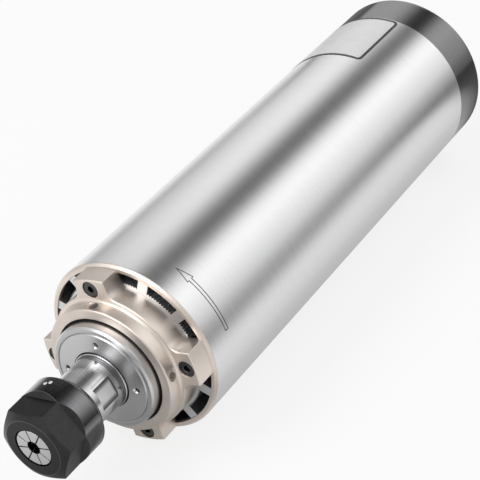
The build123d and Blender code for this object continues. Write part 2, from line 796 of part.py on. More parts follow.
def socket_nut():
    """The nut inside the cap that holds the socket."""
    outline = RegularPolygon(socket_nut_flats / 2, 6, major_radius=False)
    outline -= Circle(socket_d / 2 + socket_room)
    return across(outline, cap_back_face - socket_nut_len, cap_back_face)


def socket_insulator():
    """The insulating block that holds the socket's pins."""
    block_r = socket_d / 2 - socket_wall - push_fit
    rear_end = cap_back_face - socket_rear_len + cap_back
    block = rod(block_r, rear_end, cap_end + socket_floor)
    for hole in pin_rods(pin_d / 2 + push_fit, rear_end - 1, cap_end + socket_floor + 1):
        block -= hole
    return block


def pin_rods(radius, front, back):
    """Rods where the socket's pins are."""
    return around(rod(radius, front, back, pin_pitch_r), pin_count, lead_clock + pin_turn)


def socket_pins():
    """The four contact pins, with their solder ends inside the cap."""
    back = cap_end + socket_floor + pin_front_len
    return group(pin_rods(pin_d / 2, lead_end(), back))


def lead_end():
    """Station where the leads meet the socket's pins."""
    return cap_end - socket_rear_len - pin_rear_len


def lead_reach():
    """How far to the side the outermost lead runs."""
    return pin_pitch_r * cos(radians(pin_turn))


def lead_wires():
    """The four insulated leads from the windings to the socket's pins."""
    wires = []
    for turn in range(pin_count):
        pin_clock = radians(pin_turn + turn * 360 / pin_count)
        side = pin_pitch_r * sin(pin_clock)
        height = pin_pitch_r * cos(pin_clock)
        cross_run = lead_end() - lead_run_gap
        route = [(side, stator_end + end_turn_len, lead_pitch_r),
                 (side, plate_back + lead_jog_start, lead_pitch_r),
                 (side, plate_back + lead_jog_start + lead_jog_len, lead_outer_r),
                 (side, cross_run, lead_outer_r),
                 (side, cross_run, height),
                 (side, lead_end(), height)]
        path = FilletPolyline(*route, radius=lead_bend)
        section = Plane(route[0], z_dir=(0, 1, 0)) * Circle(lead_d / 2)
        wires.append(Rot(0, lead_clock, 0) * sweep(section, path=path))
    return group(wires)


front_bearing = dict(ball_r=front_ball_d / 2, pitch_r=front_pitch_r(), width=front_width,
                     front=front_race_face, gap=pair_spacer)
rear_bearing = dict(ball_r=rear_ball_d / 2, pitch_r=rear_pitch_r(), width=rear_width,
                    front=rear_race_face, gap=0.0)
front_rings = dict(front_bearing, bore_r=front_bore_r, outer_r=front_outer_r)
rear_rings = dict(rear_bearing, bore_r=rear_bore_r, outer_r=rear_outer_r)

nodes = {
    "body_sleeve": body_sleeve(),
    "finned_core": finned_core(),
    "front_flange": front_flange(),
    "flange_screws": flange_screws(),
    "front_bearing_cap": front_bearing_cap(),
    "cap_seal_ring": cap_seal_ring(),
    "front_outer_races": race_pair(**front_rings, inner=False),
    "front_inner_races": race_pair(**front_rings, inner=True),
    "front_bearing_balls": ball_pair(count=front_balls, **front_bearing),
    "front_ball_cages": cage_pair(count=front_balls, **front_bearing),
    "outer_race_spacer": outer_spacer(),
    "inner_race_spacer": inner_spacer(),
    "shaft": shaft(),
    "front_lock_nut": front_lock_nut(),
    "collet": collet(),
    "collet_nut": collet_nut(),
    "stator_core": stator_core(),
    "stator_winding": stator_winding(),
    "rotor_core": rotor_core(),
    "rotor_cage": rotor_cage(),
    "rear_bearing_plate": rear_bearing_plate(),
    "rear_outer_races": race_pair(**rear_rings, inner=False),
    "rear_inner_races": race_pair(**rear_rings, inner=True),
    "rear_bearing_balls": ball_pair(count=rear_balls, **rear_bearing),
    "rear_ball_cages": cage_pair(count=rear_balls, **rear_bearing),
    "preload_spring": preload_spring(),
    "rear_spacer": rear_spacer(),
    "cooling_fan": cooling_fan(),
    "fan_nut": fan_nut(),
    "rear_cap": rear_cap(),
    "rear_cap_screws": rear_cap_screws(),
    "socket_shell": socket_shell(),
    "socket_nut": socket_nut(),
    "socket_insulator": socket_insulator(),
    "socket_pins": socket_pins(),
    "lead_wires": lead_wires(),
}

os.makedirs("parts", exist_ok=True)
for name, solid in nodes.items():
    export_step(solid, f"parts/{name}.step")
    print(name, "volume", round(solid.volume, 1))
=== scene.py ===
import bmesh
import bpy
import math
import numpy as np
from mathutils import Matrix, Vector


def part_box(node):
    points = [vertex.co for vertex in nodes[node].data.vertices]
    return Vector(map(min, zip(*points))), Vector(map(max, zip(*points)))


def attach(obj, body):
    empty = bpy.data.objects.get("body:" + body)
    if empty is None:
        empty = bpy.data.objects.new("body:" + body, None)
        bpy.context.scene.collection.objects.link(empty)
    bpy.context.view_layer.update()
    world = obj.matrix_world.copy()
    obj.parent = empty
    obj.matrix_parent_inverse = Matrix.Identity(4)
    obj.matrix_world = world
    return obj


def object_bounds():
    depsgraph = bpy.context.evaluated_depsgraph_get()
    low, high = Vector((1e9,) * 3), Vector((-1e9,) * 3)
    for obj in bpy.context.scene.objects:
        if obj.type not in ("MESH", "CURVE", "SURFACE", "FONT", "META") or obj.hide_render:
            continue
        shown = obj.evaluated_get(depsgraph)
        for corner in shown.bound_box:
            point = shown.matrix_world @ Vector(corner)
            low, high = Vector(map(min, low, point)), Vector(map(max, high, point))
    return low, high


# Motor spindle with a collet nose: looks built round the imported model. Metres, shaft along Y, nose at -Y.

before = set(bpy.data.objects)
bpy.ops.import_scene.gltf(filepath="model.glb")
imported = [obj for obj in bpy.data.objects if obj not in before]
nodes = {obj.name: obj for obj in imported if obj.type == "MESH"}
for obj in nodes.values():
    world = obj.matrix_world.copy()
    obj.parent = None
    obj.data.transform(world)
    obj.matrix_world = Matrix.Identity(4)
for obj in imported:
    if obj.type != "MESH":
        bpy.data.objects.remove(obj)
cadBox = [list(corner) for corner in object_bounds()]
mm = 0.001
print("frame loaded:", len(nodes), "nodes")


# How wide the sleeve is and where it ends, read from the frame so that every piece sits on it
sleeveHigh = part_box("body_sleeve")[1]
bodyRadius = sleeveHigh.x
sleeveBack = sleeveHigh.y


# Camera, at the photograph's place and lens
cameraLook = {
    "lens": 112.6, "sensorWidth": 36,          # mm
    "nearClip": 10 * mm,
    "place": (0.27084, -0.36045, 0.40760),
    "azimuth": 31.527,                         # degrees that it stands to the right of the shaft's line
    "elevation": 38.2,                         # degrees that it looks down
}


def photoCamera():
    azimuth = math.radians(cameraLook["azimuth"])
    elevation = math.radians(cameraLook["elevation"])
    forward = Vector((-math.sin(azimuth) * math.cos(elevation),
                      math.cos(azimuth) * math.cos(elevation),
                      -math.sin(elevation)))
    right = Vector((math.cos(azimuth), math.sin(azimuth), 0))
    up = right.cross(forward)
    turn = Matrix((right, up, -forward)).transposed()
    lens = bpy.data.cameras.new("camera")
    lens.lens = cameraLook["lens"]
    lens.sensor_width = cameraLook["sensorWidth"]
    lens.clip_start = cameraLook["nearClip"]
    camera = bpy.data.objects.new("camera", lens)
    camera.matrix_world = Matrix.Translation(cameraLook["place"]) @ turn.to_4x4()
    bpy.context.scene.collection.objects.link(camera)
    bpy.context.scene.camera = camera


photoCamera()
bpy.context.scene.view_settings.view_transform = "Standard"
print("camera set")


def toLinear(hexColour):
    # sRGB hex to linear RGBA: each channel is c/12.92 below 0.04045, else ((c + 0.055)/1.055) to the 2.4
    channels = np.array([int(hexColour[i:i + 2], 16) for i in (1, 3, 5)]) / 255
    linear = np.where(channels <= 0.04045, channels / 12.92, ((channels + 0.055) / 1.055) ** 2.4)
    return (*linear.tolist(), 1.0)


def addNode(tree, kind, inputs=None, **settings):
    # one node with its settings; an input given as a socket is linked, and any other value is set
    node = tree.nodes.new(kind)
    for name, value in settings.items():
        setattr(node, name, value)
    for key, value in (inputs or {}).items():
        if isinstance(value, bpy.types.NodeSocket):
            tree.links.new(value, node.inputs[key])
        else:
            node.inputs[key].default_value = value
    return node


def newMaterial(name):
    material = bpy.data.materials.new(name)
    material.use_nodes = True
    material.node_tree.nodes.clear()
    return material, material.node_tree


def finishMaterial(tree, colour, rough, normal, **others):
    # the shader and the output: colour, roughness and normal come from nodes, other inputs are plain values
    inputs = {"Base Color": colour, "Roughness": rough, "Normal": normal, **others}
    shader = addNode(tree, "ShaderNodeBsdfPrincipled", inputs)
    addNode(tree, "ShaderNodeOutputMaterial", {"Surface": shader.outputs[0]})


def finishMetal(tree, colour, rough, normal):
    finishMaterial(tree, colour, rough, normal, Metallic=1.0)


def calc(tree, operation, *values):
    # one step of arithmetic on numbers or sockets
    return addNode(tree, "ShaderNodeMath", dict(enumerate(values)), operation=operation).outputs[0]


def product(tree, first, *others):
    for other in others:
        first = calc(tree, "MULTIPLY", first, other)
    return first


def rise(tree, value, start, end):
    # 0 before start, 1 past end, and a straight rise between them; start may be the larger one
    inputs = {"Value": value, "From Min": start, "From Max": end}
    return addNode(tree, "ShaderNodeMapRange", inputs).outputs[0]


def spread(tree, value, low, high):
    # maps 0..1 to low..high
    return addNode(tree, "ShaderNodeMapRange", {"Value": value, "To Min": low, "To Max": high}).outputs[0]


def band(tree, value, middle, half, soft):
    # 1 within half of the middle, and 0 past half and the soft border
    away = calc(tree, "ABSOLUTE", calc(tree, "SUBTRACT", value, middle))
    return rise(tree, away, half + soft, half)


def mixNumber(tree, factor, first, second):
    return addNode(tree, "ShaderNodeMix", {0: factor, 2: first, 3: second}).outputs[0]


def mixColour(tree, factor, first, second):
    # sockets 6 and 7 of a mix node are its colours; each is a socket, a linear colour or a hex
    colours = {6: first, 7: second}
    inputs = {key: toLinear(value) if isinstance(value, str) else value for key, value in colours.items()}
    return addNode(tree, "ShaderNodeMix", {0: factor, **inputs}, data_type="RGBA").outputs[2]


def ramp(tree, factor, stops):
    # a colour ramp through (place, colour) stops, where a colour is a hex or a plain grey number
    node = addNode(tree, "ShaderNodeValToRGB", {"Fac": factor})
    elements = node.color_ramp.elements
    while len(elements) < len(stops):
        elements.new(0.5)
    for element, (place, colour) in zip(elements, stops):
        element.position = place
        element.color = toLinear(colour) if isinstance(colour, str) else (colour, colour, colour, 1)
    return node.outputs["Color"]


def objectPoint(tree):
    return addNode(tree, "ShaderNodeTexCoord").outputs["Object"]


def fromAxis(tree):
    # distance of a point from the shaft's axis, and its place along it
    point = objectPoint(tree)
    flat = addNode(tree, "ShaderNodeVectorMath", {0: point, 1: (1, 0, 1)}, operation="MULTIPLY").outputs[0]
    distance = addNode(tree, "ShaderNodeVectorMath", {0: flat}, operation="LENGTH").outputs["Value"]
    return distance, addNode(tree, "ShaderNodeSeparateXYZ", {0: point}).outputs["Y"]


def streaks(tree, spacing, length, detail=3):
    # noise drawn out into lines round the shaft: spacing apart along it, and about length long
    scale = (1 / length, 1 / spacing, 1 / length)
    placed = addNode(tree, "ShaderNodeMapping", {"Vector": objectPoint(tree), "Scale": scale}).outputs[0]
    inputs = {"Vector": placed, "Scale": 1.0, "Detail": detail, "Roughness": 0.6}
    return addNode(tree, "ShaderNodeTexNoise", inputs).outputs["Fac"]


def specks(tree, size, detail=2):
    # even noise of one grain size
    inputs = {"Vector": objectPoint(tree), "Scale": 1 / size, "Detail": detail}
    return addNode(tree, "ShaderNodeTexNoise", inputs).outputs["Fac"]


def rings(tree, spacing, detail=2):
    # turning marks on a face: noise read along the distance from the shaft axis
    distance, _ = fromAxis(tree)
    inputs = {"W": product(tree, distance, 1 / spacing), "Scale": 1.0, "Detail": detail}
    return addNode(tree, "ShaderNodeTexNoise", inputs, noise_dimensions="1D").outputs["Fac"]


def thread(tree, pitch, where):
    # a screw thread round the shaft's line: how far up its ridge and how far down its root a point is, each
    # from 0 to 1 and times the share that says where the thread is
    parts = addNode(tree, "ShaderNodeSeparateXYZ", {0: objectPoint(tree)}).outputs
    turns = product(tree, calc(tree, "ARCTAN2", parts["X"], parts["Z"]), 1 / (2 * math.pi))
    phase = calc(tree, "MULTIPLY_ADD", parts["Y"], 1 / pitch, turns)
    ridge = spread(tree, calc(tree, "PINGPONG", phase, 0.5), 0, 2)
    root = calc(tree, "SUBTRACT", 1.0, ridge)
    return product(tree, where, ridge), product(tree, where, root)


def bumpFrom(tree, height, distance, normal=None):
    inputs = {"Height": height, "Distance": distance}
    if normal is not None:
        inputs["Normal"] = normal
    return addNode(tree, "ShaderNodeBump", inputs).outputs[0]


def softEdges(tree, radius):
    # the small round that a deburred edge has, for the light to catch
    return addNode(tree, "ShaderNodeBevel", {"Radius": radius}, samples=4).outputs[0]


def edgeWearAndHighlight(tree, radius, reach):
    # 0 on faces and up to 1 on convex and concave edges: how far the rounded normal leans from the face's own
    rounded = addNode(tree, "ShaderNodeBevel", {"Radius": radius}, samples=6).outputs[0]
    faceNormal = addNode(tree, "ShaderNodeNewGeometry").outputs["True Normal"]
    agree = addNode(tree, "ShaderNodeVectorMath", {0: rounded, 1: faceNormal}, operation="DOT_PRODUCT")
    return rise(tree, agree.outputs["Value"], 1.0, 1.0 - reach)


# In the settings of a finish, lines are brush or grinding lines by their spacing and length, and rings are
# turning marks by their spacing. Colours and rough are two ends between which such a pattern varies, bump is
# how deep it is, and edge is the radius that soft edges seem to have.

# Body tube. Real brush lines are about 0.05 mm apart: they are drawn at 0.45 mm so that they show.
stainlessLook = {
    "lines": (0.45 * mm, 30 * mm), "fineLines": (0.15 * mm, 8 * mm),
    "colours": ("#BEBEBF", "#DADADA"), "rough": (0.17, 0.32), "bump": 0.012 * mm,
}


def brushedStainless():
    # stainless steel belt-brushed round the tube: fine lines round it, and soft bands of light along it
    material, tree = newMaterial("brushedStainlessSteel")
    coarse, fine = (streaks(tree, *stainlessLook[key]) for key in ("lines", "fineLines"))
    brushing = product(tree, calc(tree, "ADD", coarse, fine), 0.5)
    finishMetal(tree, mixColour(tree, brushing, *stainlessLook["colours"]),
                spread(tree, brushing, *stainlessLook["rough"]),
                bumpFrom(tree, brushing, stainlessLook["bump"]))
    return material


# Flange, and the blind dimples on its neck: the neck's radius, and the clock angles, station and radius of
# the dimples' mouths
flangeLook = {
    "rings": 0.35 * mm, "lines": (0.35 * mm, 25 * mm), "cloud": 9 * mm,
    "colours": ("#D8CDC3", "#E9E0D8"), "dimpleShadeColour": "#8E8983", "rough": (0.42, 0.54),
    "bump": 0.01 * mm, "edge": 0.45 * mm,
    "neck": 29.2 * mm, "clocks": (-16.4, 73.6, 163.6, 253.6), "station": -14.2 * mm, "dimple": 2.1 * mm,
    "dimpleSharp": 0.9,
}


def dimpleShade(tree):
    # 1 inside each blind dimple, where the plating is painted darker as shade, and 0 elsewhere
    point = objectPoint(tree)
    neck = flangeLook["neck"]
    distances = []
    for clock in flangeLook["clocks"]:
        turned = math.radians(clock)
        place = (neck * math.sin(turned), flangeLook["station"], neck * math.cos(turned))
        away = addNode(tree, "ShaderNodeVectorMath", {0: point, 1: place}, operation="DISTANCE")
        distances.append(away.outputs["Value"])
    nearest = distances[0]
    for distance in distances[1:]:
        nearest = calc(tree, "MINIMUM", nearest, distance)
    return rise(tree, nearest, flangeLook["dimple"], flangeLook["dimpleSharp"] * flangeLook["dimple"])


def platedFlange():
    # machined part with a satin nickel-bronze plating: warm champagne, soft bright edges, faint turning marks,
    # and painted shade in the neck's dimples
    material, tree = newMaterial("satinChampagnePlating")
    marks = product(tree, rings(tree, flangeLook["rings"]), streaks(tree, *flangeLook["lines"]))
    plated = mixColour(tree, specks(tree, flangeLook["cloud"]), *flangeLook["colours"])
    finishMetal(tree, mixColour(tree, dimpleShade(tree), plated, flangeLook["dimpleShadeColour"]),
                spread(tree, marks, *flangeLook["rough"]),
                bumpFrom(tree, marks, flangeLook["bump"], softEdges(tree, flangeLook["edge"])))
    return material


# Bearing cap. Its turning marks are finer in fact: they are drawn at 0.3 mm so that they show.
capLook = {"rings": 0.3 * mm, "colours": ("#B8B8B9", "#D2D2D2"), "rough": (0.27, 0.38),
           "bump": 0.01 * mm, "edge": 0.2 * mm}


def turnedSteel():
    # fine-turned steel: bright satin with close rings round the axis
    material, tree = newMaterial("fineTurnedSteel")
    marks = rings(tree, capLook["rings"])
    finishMetal(tree, mixColour(tree, marks, *capLook["colours"]), spread(tree, marks, *capLook["rough"]),
                bumpFrom(tree, marks, capLook["bump"], softEdges(tree, capLook["edge"])))
    return material


# Shaft: stations along it, and distances from its axis
shaftLook = {
    "lines": (0.3 * mm, 60 * mm), "lineDetail": 1, "colours": ("#AFAFB0", "#CBCBCB"), "rough": (0.14, 0.22),
    "bump": 0.003 * mm, "edge": 0.25 * mm,
    # the spanner flats: their ends, how far under the ground surface they start, and the wall at their back,
    # which is painted darker as shade
    "flatFront": -37.7 * mm, "flatBack": -27.9 * mm, "flatSoft": 0.02 * mm, "ground": 12 * mm,
    "flatUnder": (0.02 * mm, 0.08 * mm), "flatRough": (0.30, 0.40),
    "wall": 0.45 * mm, "wallShadeColour": "#747474",
    # distance from the axis in mm, and how bright the milled flat is painted there: a painted highlight along
    # its middle and painted shade towards its edges
    "flat": [(11.0, "#FFFFFF"), (11.25, "#F6F6F6"), (11.5, "#A6A6A6"), (11.75, "#707070"), (12.0, "#707070")],
    # the dull ring turned behind the flats, and its two grooves, which are painted dark as shade
    "ringMiddle": -24.7 * mm, "ringHalf": 1.0 * mm, "ringSoft": 0.05 * mm, "ringColour": "#98989A",
    "ringRough": 0.32, "grooves": (-25.7 * mm, -24.8 * mm), "grooveHalf": 0.1 * mm, "grooveSoft": 0.12 * mm,
    "grooveShadeColour": "#4E4E50",
    # the thread on the nose, which the nut covers at rest, with painted shade in its roots
    "threadEnd": -46 * mm, "threadFade": 0.5 * mm, "threadCrest": 12.3 * mm, "crestSoft": 0.02 * mm,
    "threadPitch": 1.5 * mm, "threadDepth": 0.5 * mm, "threadRootShade": "#4A4A4C",
}


def spannerFlat(tree, distance, along):
    # where the milled flats are, and their colour: a painted highlight in the middle, and painted shade
    # towards the edges and on the wall at their back
    front, back, ground = shaftLook["flatFront"], shaftLook["flatBack"], shaftLook["ground"]
    start, full = shaftLook["flatUnder"]
    within = band(tree, along, (front + back) / 2, (back - front) / 2, shaftLook["flatSoft"])
    milled = product(tree, within, rise(tree, distance, ground - start, ground - full))
    nearest, farthest = shaftLook["flat"][0][0], shaftLook["flat"][-1][0]
    across = rise(tree, distance, nearest * mm, farthest * mm)
    stops = [((place - nearest) / (farthest - nearest), colour) for place, colour in shaftLook["flat"]]
    wall = rise(tree, along, back - shaftLook["wall"], back - 0.5 * shaftLook["wall"])
    return milled, mixColour(tree, wall, ramp(tree, across, stops), shaftLook["wallShadeColour"])


def groundSteel():
    # ground and polished shaft steel: close lines round the shaft and a deep, clear shine. Its milled flats
    # are duller, with a painted highlight along their middle and painted shade at their edges and back wall,
    # and the ring behind them is dull with two fine grooves painted dark as shade.
    material, tree = newMaterial("groundShaftSteel")
    lines = streaks(tree, *shaftLook["lines"], shaftLook["lineDetail"])
    distance, along = fromAxis(tree)
    milled, flatPaintedShading = spannerFlat(tree, distance, along)
    ring = band(tree, along, shaftLook["ringMiddle"], shaftLook["ringHalf"], shaftLook["ringSoft"])
    first, second = (band(tree, along, place, shaftLook["grooveHalf"], shaftLook["grooveSoft"])
                     for place in shaftLook["grooves"])
    groove = calc(tree, "MAXIMUM", first, second)
    end, crest = shaftLook["threadEnd"], shaftLook["threadCrest"]
    threaded = product(tree, rise(tree, along, end, end - shaftLook["threadFade"]),
                       rise(tree, distance, crest, crest + shaftLook["crestSoft"]))
    ridge, root = thread(tree, shaftLook["threadPitch"], threaded)
    colour = mixColour(tree, lines, *shaftLook["colours"])
    for share, over in ((ring, shaftLook["ringColour"]), (groove, shaftLook["grooveShadeColour"]),
                        (root, shaftLook["threadRootShade"]), (milled, flatPaintedShading)):
        colour = mixColour(tree, share, colour, over)
    rough = mixNumber(tree, ring, spread(tree, lines, *shaftLook["rough"]), shaftLook["ringRough"])
    rough = mixNumber(tree, milled, rough, spread(tree, lines, *shaftLook["flatRough"]))
    surface = bumpFrom(tree, lines, shaftLook["bump"], softEdges(tree, shaftLook["edge"]))
    finishMetal(tree, colour, rough, bumpFrom(tree, ridge, shaftLook["threadDepth"], surface))
    return material


# Screws
oxideLook = {
    "cloud": 3 * mm, "cloudDetail": 4, "grain": 0.35 * mm, "colours": ("#4C4C4E", "#5C5C5E"),
    "edgeWearHighlightColour": "#8A8A8B", "edgeWearHighlightRadius": 0.35 * mm, "edgeWearHighlightReach": 0.35, "rough": (0.27, 0.38),
    "bump": 0.004 * mm, "edge": 0.5 * mm,
}


def blackOxide():
    # steel blackened in a salt bath and oiled: near black, half-glossy, a little lighter on convex and concave
    # edges, partly as wear and partly as a painted highlight
    material, tree = newMaterial("blackOxideSteel")
    cloud = specks(tree, oxideLook["cloud"], oxideLook["cloudDetail"])
    black = mixColour(tree, cloud, *oxideLook["colours"])
    # lighter edges: partly wear, partly a painted highlight
    wearAndHighlight = edgeWearAndHighlight(tree, oxideLook["edgeWearHighlightRadius"], oxideLook["edgeWearHighlightReach"])
    finishMetal(tree, mixColour(tree, wearAndHighlight, black, oxideLook["edgeWearHighlightColour"]),
                spread(tree, cloud, *oxideLook["rough"]),
                bumpFrom(tree, specks(tree, oxideLook["grain"]), oxideLook["bump"],
                         softEdges(tree, oxideLook["edge"])))
    return material


# Collet nut: the radius and the front end of its turned barrel, and a thin ring on its face, painted lighter
# as a highlight
nutLook = {
    "barrel": 16.95 * mm, "barrelSoft": 0.15 * mm, "barrelFront": -55.1 * mm, "frontSoft": 0.1 * mm,
    "turnedColours": ("#666668", "#787879"), "turnedRough": (0.05, 0.09), "lines": (0.3 * mm, 12 * mm),
    "milledColours": ("#343435", "#424243"), "milledRough": (0.32, 0.42), "cloud": 2.5 * mm, "cloudDetail": 4,
    "face": -66.3 * mm, "faceSoft": 0.1 * mm, "ring": 12.6 * mm, "ringHalf": 0.1 * mm, "ringSoft": 0.15 * mm,
    "ringColour": "#5A5A5B", "bump": 0.004 * mm,
}


def blackenedNut():
    # blackened steel: the turned barrel is polished under the black, the milled flats and face are dull, and a
    # thin ring on the face is a painted highlight
    material, tree = newMaterial("blackenedNutSteel")
    distance, along = fromAxis(tree)
    front, face = nutLook["barrelFront"], nutLook["face"]
    barrel = product(tree, rise(tree, distance, nutLook["barrel"] - nutLook["barrelSoft"], nutLook["barrel"]),
                     rise(tree, along, front, front + nutLook["frontSoft"]))
    # the thin ring on the face: a painted highlight
    ring = product(tree, band(tree, distance, nutLook["ring"], nutLook["ringHalf"], nutLook["ringSoft"]),
                   rise(tree, along, face, face - nutLook["faceSoft"]))
    cloud = specks(tree, nutLook["cloud"], nutLook["cloudDetail"])
    lines = streaks(tree, *nutLook["lines"])
    black = mixColour(tree, barrel, mixColour(tree, cloud, *nutLook["milledColours"]),
                      mixColour(tree, lines, *nutLook["turnedColours"]))
    rough = mixNumber(tree, barrel, spread(tree, cloud, *nutLook["milledRough"]),
                      spread(tree, lines, *nutLook["turnedRough"]))
    finishMetal(tree, mixColour(tree, ring, black, nutLook["ringColour"]), rough,
                bumpFrom(tree, lines, nutLook["bump"]))
    return material


# Collet: its bore is painted dark as shade from just behind its face on
colletLook = {
    "rings": 0.4 * mm, "colours": ("#C8C8C8", "#EAEAEA"), "rough": (0.34, 0.48), "bump": 0.008 * mm,
    "edge": 0.15 * mm, "bore": 3.1 * mm, "boreSoft": 0.1 * mm, "face": -66.1 * mm, "faceSoft": 0.3 * mm,
    "boreShadeColour": "#2E2E2F",
}


def colletSteel():
    # spring steel, ground and matt, with fine scratches, and painted shade in its bore
    material, tree = newMaterial("springSteelCollet")
    marks = rings(tree, colletLook["rings"])
    distance, along = fromAxis(tree)
    wall, face = colletLook["bore"], colletLook["face"]
    # painted shade inside the bore
    bore = product(tree, rise(tree, distance, wall + colletLook["boreSoft"], wall),
                   rise(tree, along, face, face + colletLook["faceSoft"]))
    ground = mixColour(tree, marks, *colletLook["colours"])
    finishMetal(tree, mixColour(tree, bore, ground, colletLook["boreShadeColour"]),
                spread(tree, marks, *colletLook["rough"]),
                bumpFrom(tree, marks, colletLook["bump"], softEdges(tree, colletLook["edge"])))
    return material


# Rear cap
rearCapLook = {"lines": (0.3 * mm, 40 * mm), "rings": 0.3 * mm, "colours": ("#6A6A6B", "#7E7E7F"),
               "rough": (0.11, 0.20), "bump": 0.005 * mm, "edge": 0.4 * mm}


def blackAnodised():
    # turned aluminium, black anodised: dark, smooth and glossy, with very fine turning lines
    material, tree = newMaterial("blackAnodisedAluminium")
    marks = product(tree, streaks(tree, *rearCapLook["lines"]), rings(tree, rearCapLook["rings"]))
    finishMetal(tree, mixColour(tree, marks, *rearCapLook["colours"]),
                spread(tree, marks, *rearCapLook["rough"]),
                bumpFrom(tree, marks, rearCapLook["bump"], softEdges(tree, rearCapLook["edge"])))
    return material


# Connector's shell and its thread: where the thread starts behind the cap, and the shares of the shell's
# radius between which it comes in. The thread's roots are painted darker as shade.
socketLook = {
    "lines": (0.5 * mm, 15 * mm), "colours": ("#C9C5BC", "#DEDAD2"), "rough": (0.13, 0.27),
    "bump": 0.005 * mm,
    "threadStart": 247.4 * mm, "threadFade": 0.3 * mm, "threadReach": (0.85, 0.9), "pitch": 1.0 * mm,
    "threadDepth": 0.25 * mm, "threadRootShade": "#6E6B64",
}


def nickelPlate():
    # nickel plated brass: bright and slightly warm, with the plug's thread cut round the shell and painted
    # shade in its roots
    material, tree = newMaterial("nickelPlatedBrass")
    lines = streaks(tree, *socketLook["lines"])
    distance, along = fromAxis(tree)
    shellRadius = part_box("socket_shell")[1].x
    inner, outer = (share * shellRadius for share in socketLook["threadReach"])
    start = socketLook["threadStart"]
    threaded = product(tree, rise(tree, along, start, start + socketLook["threadFade"]),
                       rise(tree, distance, inner, outer))
    ridge, root = thread(tree, socketLook["pitch"], threaded)
    nickel = mixColour(tree, lines, *socketLook["colours"])
    surface = bumpFrom(tree, lines, socketLook["bump"])
    finishMetal(tree, mixColour(tree, root, nickel, socketLook["threadRootShade"]),
                spread(tree, lines, *socketLook["rough"]),
                bumpFrom(tree, ridge, socketLook["threadDepth"], surface))
    return material


# Plain finishes: how far roughness varies to both sides with the grain, how fine the grain is, and how deep
plainLook = {"metalVary": 0.07, "polymerVary": 0.06, "detail": 3, "bump": 0.01 * mm}


def plainMetal(name, dark, light, rough, grain, length=None):
    # a metal with a fine cast, drawn or stamped surface: colour and roughness vary with its grain
    material, tree = newMaterial(name)
    cover = streaks(tree, grain, length) if length else specks(tree, grain, plainLook["detail"])
    vary = plainLook["metalVary"]
    finishMetal(tree, mixColour(tree, cover, dark, light), spread(tree, cover, rough - vary, rough + vary),
                bumpFrom(tree, cover, plainLook["bump"]))
    return material


def plainPolymer(name, dark, light, rough, grain, ior):
    # a moulded or rubbery surface: nearly even colour with a fine mould grain
    material, tree = newMaterial(name)
    cover = specks(tree, grain, plainLook["detail"])
    vary = plainLook["polymerVary"]
    finishMaterial(tree, mixColour(tree, cover, dark, light), spread(tree, cover, rough - vary, rough + vary),
                   bumpFrom(tree, cover, plainLook["bump"]), IOR=ior)
    return material


finishes = {
    "body_sleeve": brushedStainless(),
    "front_flange": platedFlange(),
    "front_bearing_cap": turnedSteel(),
    "shaft": groundSteel(),
    "flange_screws": blackOxide(),
    "collet_nut": blackenedNut(),
    "collet": colletSteel(),
    "rear_cap": blackAnodised(),
    "socket_shell": nickelPlate(),
    "finned_core": plainMetal("extrudedAluminium", "#C6C8CB", "#DDDFE1",
                              rough=0.36, grain=0.4 * mm, length=20 * mm),
    "stator_core": plainMetal("siliconSteelSheets", "#6E7074", "#86888C",
                              rough=0.42, grain=0.5 * mm, length=60 * mm),
    "stator_winding": plainMetal("enamelledCopperWire", "#9C4F22", "#C46F35",
                                 rough=0.34, grain=0.9 * mm, length=12 * mm),
    "rotor_cage": plainMetal("dieCastAluminium", "#B4B6B9", "#CDCFD1", rough=0.46, grain=0.8 * mm),
    "front_outer_races": plainMetal("polishedBearingSteel", "#C3C4C6", "#DADBDC",
                                    rough=0.16, grain=0.4 * mm, length=20 * mm),
    "preload_spring": plainMetal("bluedSpringSteel", "#4B5563", "#6A7480", rough=0.28, grain=0.6 * mm),
    "socket_pins": plainMetal("goldFlashedBrass", "#B98F3C", "#D8B25A", rough=0.22, grain=0.5 * mm),
    "cap_seal_ring": plainPolymer("nitrileRubber", "#0B0B0B", "#161616",
                                  rough=0.55, grain=0.3 * mm, ior=1.52),
    "front_ball_cages": plainPolymer("laminatedPhenolic", "#6B4220", "#86562D",
                                     rough=0.5, grain=0.4 * mm, ior=1.6),
    "cooling_fan": plainPolymer("glassFilledNylon", "#17181A", "#232427",
                                rough=0.48, grain=0.5 * mm, ior=1.53),
    "socket_insulator": plainPolymer("glossyPhenolicInsert", "#121212", "#1C1C1C",
                                     rough=0.25, grain=0.6 * mm, ior=1.55),
    "lead_wires": plainPolymer("siliconeInsulation", "#7E1B17", "#9B2A23",
                               rough=0.6, grain=0.6 * mm, ior=1.41),
}
sameAs = {
    "rear_cap_screws": "flange_screws",
    "front_lock_nut": "shaft", "outer_race_spacer": "shaft", "inner_race_spacer": "shaft",
    "rear_spacer": "shaft", "rotor_core": "stator_core", "rear_bearing_plate": "rotor_cage",
    "front_inner_races": "front_outer_races", "rear_outer_races": "front_outer_races",
    "rear_inner_races": "front_outer_races", "front_bearing_balls": "front_outer_races",
    "rear_bearing_balls": "front_outer_races", "rear_ball_cages": "front_ball_cages",
    "fan_nut": "socket_shell", "socket_nut": "socket_shell",
}
for name, node in nodes.items():
    material = finishes[sameAs.get(name, name)]
    node.data.materials.clear()
    node.data.materials.append(material)
print("materials on", len(nodes), "nodes")


